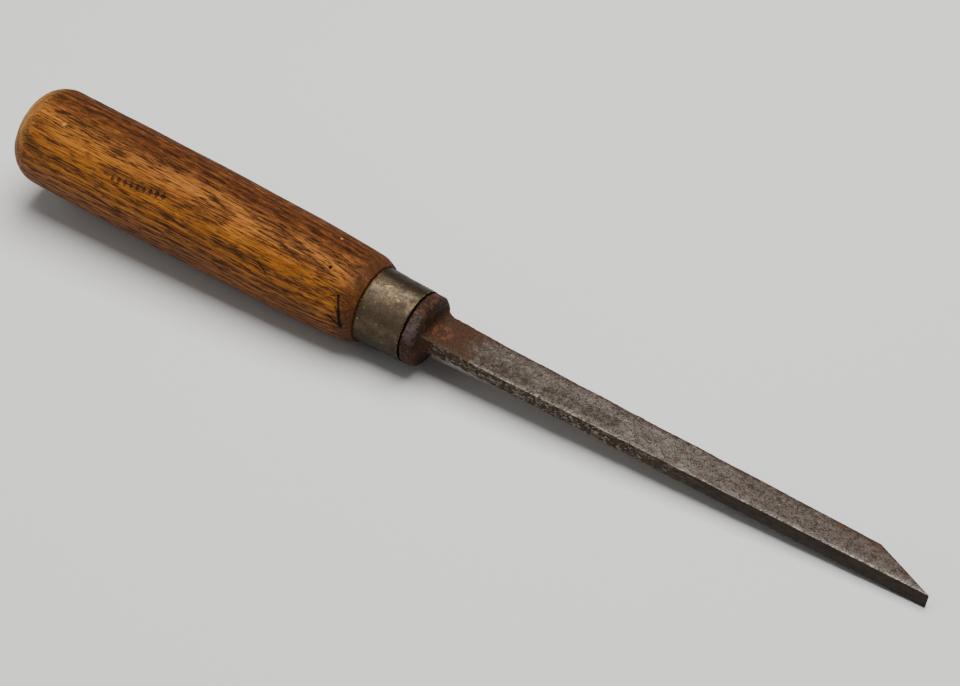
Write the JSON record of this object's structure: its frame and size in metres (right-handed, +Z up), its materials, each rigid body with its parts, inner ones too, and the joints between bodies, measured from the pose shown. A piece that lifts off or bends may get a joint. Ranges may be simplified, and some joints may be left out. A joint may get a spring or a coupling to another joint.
{
  "type": "parting tool",
  "caption": "Narrow parting tool at rest on a table: slim, deep steel bar with a flat back and one end bevel, round bolster, tapered brass ferrule and turned ash handle.",
  "frame": {"origin": "bottom centre of the bounding box of the tool as it lies on a table", "axes": "+X from the butt towards the cutting edge, +Z up from the table, the blade's flat back faces -Y and its bevel +Y; the axis dips about 3.6 degrees towards the edge and the blade leans about 7.6 degrees"},
  "size_m": [0.301, 0.031, 0.0365],
  "materials": {
    "ash": "worn oil finish on open grain",
    "brass": "dull patina",
    "steel": "pitted, with rust"
  },
  "bodies": {
    "root": {"handle": "ash", "ferrule": "brass", "blade": "steel"}
  },
  "joints": []
}
